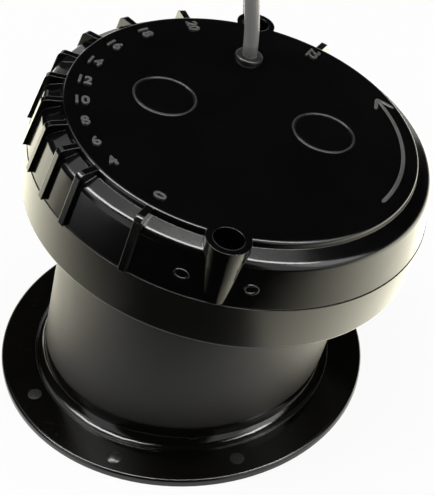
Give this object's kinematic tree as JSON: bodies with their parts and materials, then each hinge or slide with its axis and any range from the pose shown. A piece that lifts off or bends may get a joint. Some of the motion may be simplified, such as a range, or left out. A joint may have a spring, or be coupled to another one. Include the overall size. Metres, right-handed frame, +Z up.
{
  "type": "in-hull sonar transducer",
  "caption": "Round in-hull depth transducer: flanged leaning base, and a ribbed cap housing that turns to set the deadrise, with a cable from its top.",
  "frame": {"origin": "middle of the flange's underside, on the hull", "axes": "+Z up from the hull; the tube leans towards +X"},
  "size_m": [0.1624, 0.2542, 0.1745],
  "materials": {
    "base_plastic": "satin",
    "cap_plastic": "gloss",
    "cup_plastic": "satin",
    "seal_rubber": "matt",
    "plug_plastic": "gloss",
    "grommet_rubber": "matt",
    "matching_epoxy": "satin",
    "piezo_ceramic": "fired ceramic with silvered faces",
    "cork": "matt",
    "potting_resin": "satin",
    "lead_red": "satin",
    "lead_black": "satin",
    "cable_jacket": "glossy jacket",
    "connector_plastic": "satin",
    "tie_band": "woven",
    "contact_brass": "bright"
  },
  "bodies": {
    "base": {"base": "base_plastic", "cable": "cable_jacket", "cable_coil": "cable_jacket", "tie_left": "tie_band", "tie_right": "tie_band", "plug_boot": "grommet_rubber", "plug_body": "connector_plastic", "plug_insert": "connector_plastic", "pin_1": "contact_brass", "pin_2": "contact_brass", "pin_3": "contact_brass", "pin_4": "contact_brass", "pin_5": "contact_brass"},
    "housing": {"top_cap": "cap_plastic", "transducer_cup": "cup_plastic", "seal_ring": "seal_rubber", "fill_plug_left": "plug_plastic", "fill_plug_right": "plug_plastic", "grommet": "grommet_rubber", "matching_layer": "matching_epoxy", "piezo_disc": "piezo_ceramic", "cork_ring": "cork", "cork_disc": "cork", "potting": "potting_resin", "lead_left": "lead_red", "lead_right": "lead_black", "cable_tail": "cable_jacket"}
  },
  "joints": [
    {"name": "deadrise_turn", "type": "hinge", "parent": "base", "child": "housing", "pos_m": [0, 0, 0.004], "axis": [0.1908, 0, 0.9816], "range_deg": [-72.8, 107.2]}
  ]
}
